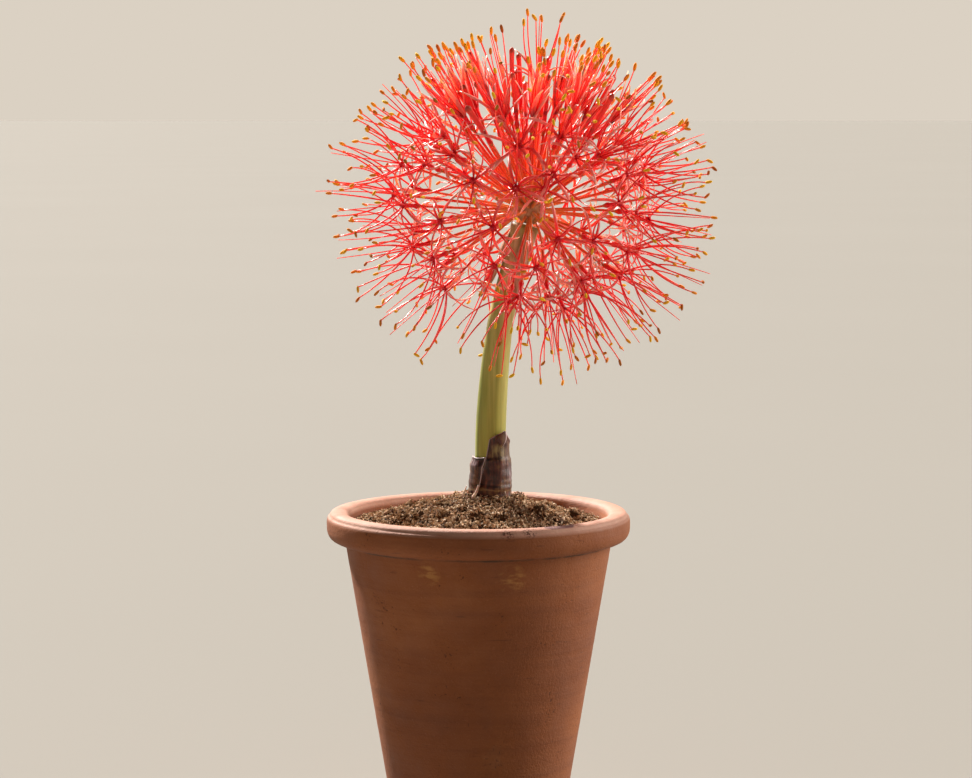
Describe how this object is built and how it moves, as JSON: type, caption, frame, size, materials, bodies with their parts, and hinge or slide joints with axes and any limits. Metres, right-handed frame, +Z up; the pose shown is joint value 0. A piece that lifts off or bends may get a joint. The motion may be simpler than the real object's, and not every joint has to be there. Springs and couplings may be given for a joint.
{
  "type": "potted flower",
  "caption": "Tapered terracotta flowerpot with a rolled rim, holding a bulb plant with one stalk and a globe-shaped red flower head.",
  "frame": {"origin": "centre of the pot's flat base, on the surface that it stands on", "axes": "+Z up along the pot's axis, -Y towards the front; the stalk leans towards +X"},
  "size_m": [0.208, 0.2016, 0.4283],
  "materials": {
    "terracotta": "matte",
    "crock": "matte",
    "soil": "matte",
    "bulb": "satin",
    "root": "matte",
    "scape": "satin",
    "sheath": "satin",
    "bract": "matte",
    "bud": "satin",
    "floret": "satin"
  },
  "bodies": {
    "pot": {"terracotta_pot": "terracotta", "drainage_crock_1": "crock", "drainage_crock_2": "crock", "drainage_crock_3": "crock"},
    "root_ball": {"potting_soil": "soil", "bulb": "bulb", "root_1": "root", "root_2": "root", "root_3": "root", "root_4": "root", "root_5": "root", "root_6": "root"},
    "flower": {"scape": "scape", "sheath_tall": "sheath", "sheath_short": "sheath", "umbel_hub": "scape", "spathe_bract_1": "bract", "spathe_bract_2": "bract", "spathe_bract_3": "bract", "bud_1": "bud", "bud_2": "bud", "bud_3": "bud", "bud_4": "bud", "floret_1": "floret", "floret_2": "floret", "floret_3": "floret", "floret_4": "floret", "floret_5": "floret", "floret_6": "floret", "floret_7": "floret", "floret_8": "floret", "floret_9": "floret", "floret_10": "floret", "floret_11": "floret", "floret_12": "floret", "floret_13": "floret", "floret_14": "floret", "floret_15": "floret", "floret_16": "floret", "floret_17": "floret", "floret_18": "floret", "floret_19": "floret", "floret_20": "floret", "floret_21": "floret", "floret_22": "floret", "floret_23": "floret", "floret_24": "floret", "floret_25": "floret", "floret_26": "floret", "floret_27": "floret", "floret_28": "floret", "floret_29": "floret"}
  },
  "joints": [
    {"name": "root_ball_lift", "type": "slide", "parent": "pot", "child": "root_ball", "axis": [0, 0, 1], "range_m": [0, 0.17]},
    {"name": "scape_sway", "type": "hinge", "parent": "root_ball", "child": "flower", "pos_m": [0.0063, 0, 0.176], "axis": [0, 1, 0], "range_deg": [-6, 6], "stiffness_Nm_per_rad": 3}
  ]
}
